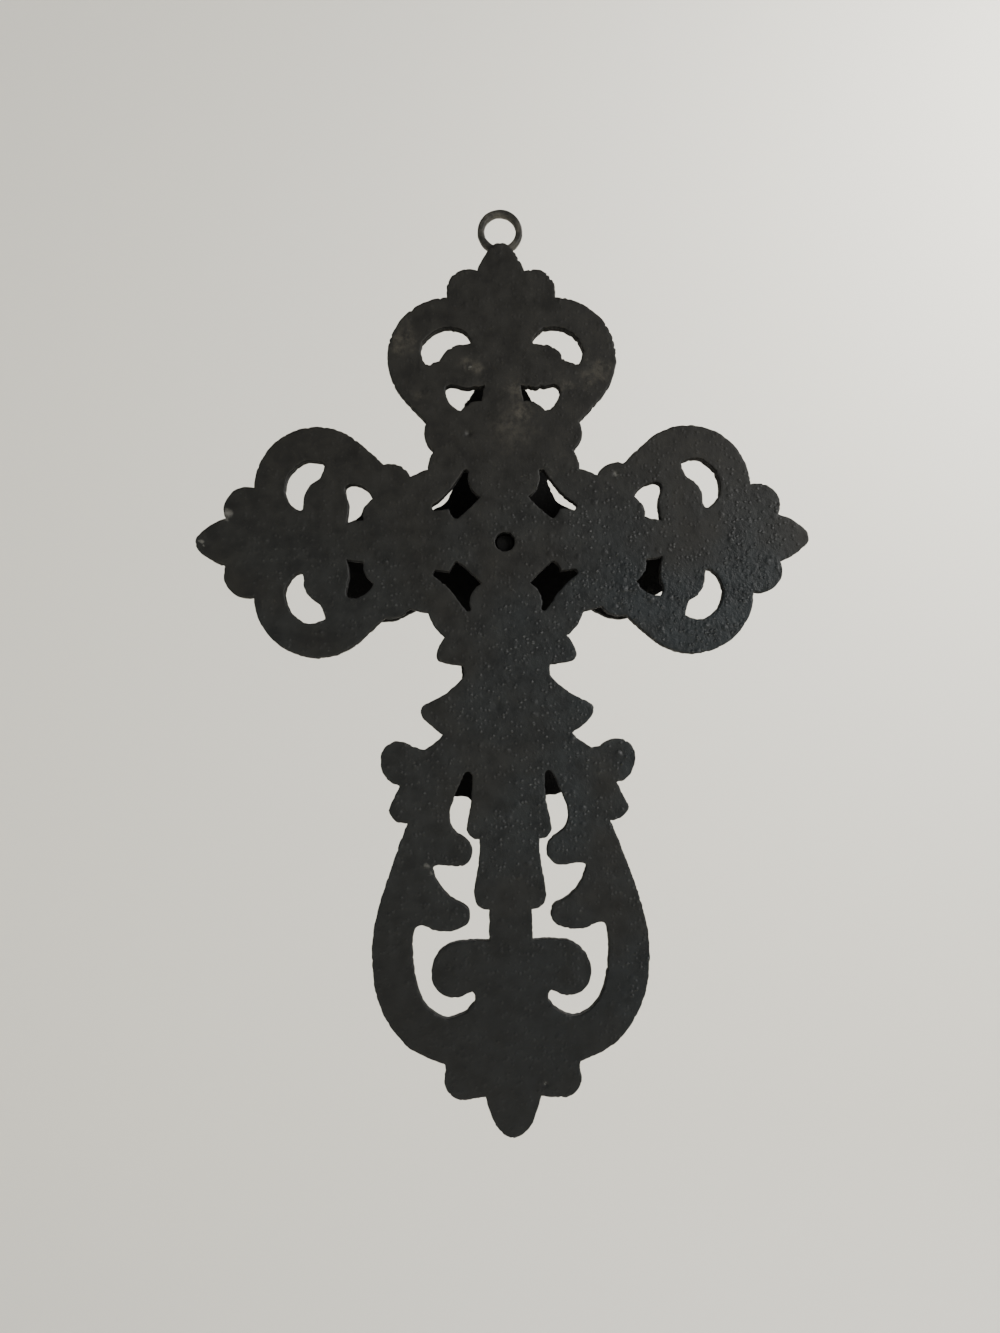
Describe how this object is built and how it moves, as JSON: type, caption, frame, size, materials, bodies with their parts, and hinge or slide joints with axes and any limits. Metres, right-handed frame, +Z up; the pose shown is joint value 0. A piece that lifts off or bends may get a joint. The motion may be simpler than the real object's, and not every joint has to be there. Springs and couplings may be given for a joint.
{
  "type": "wall cross",
  "caption": "Openwork cast iron cross to hang on a wall by its ring, with a smaller cross on a boss in front of it.",
  "frame": {"origin": "top of the hole in the hanging ring, in the plane of the flat back, above where a nail bears", "axes": "+Z is up along the long limb. The flat back lies in Y = 0 and faces +Y, to the wall. The carved faces look towards -Y, and +X is to their viewer's right."},
  "size_m": [0.16, 0.0262, 0.2413],
  "materials": {
    "black_iron": "thin black paint over a sand-cast skin, slightly dusty, rough 0.5 to 0.7"
  },
  "bodies": {
    "root": {"back_cross": "black_iron", "front_cross": "black_iron"}
  },
  "joints": []
}
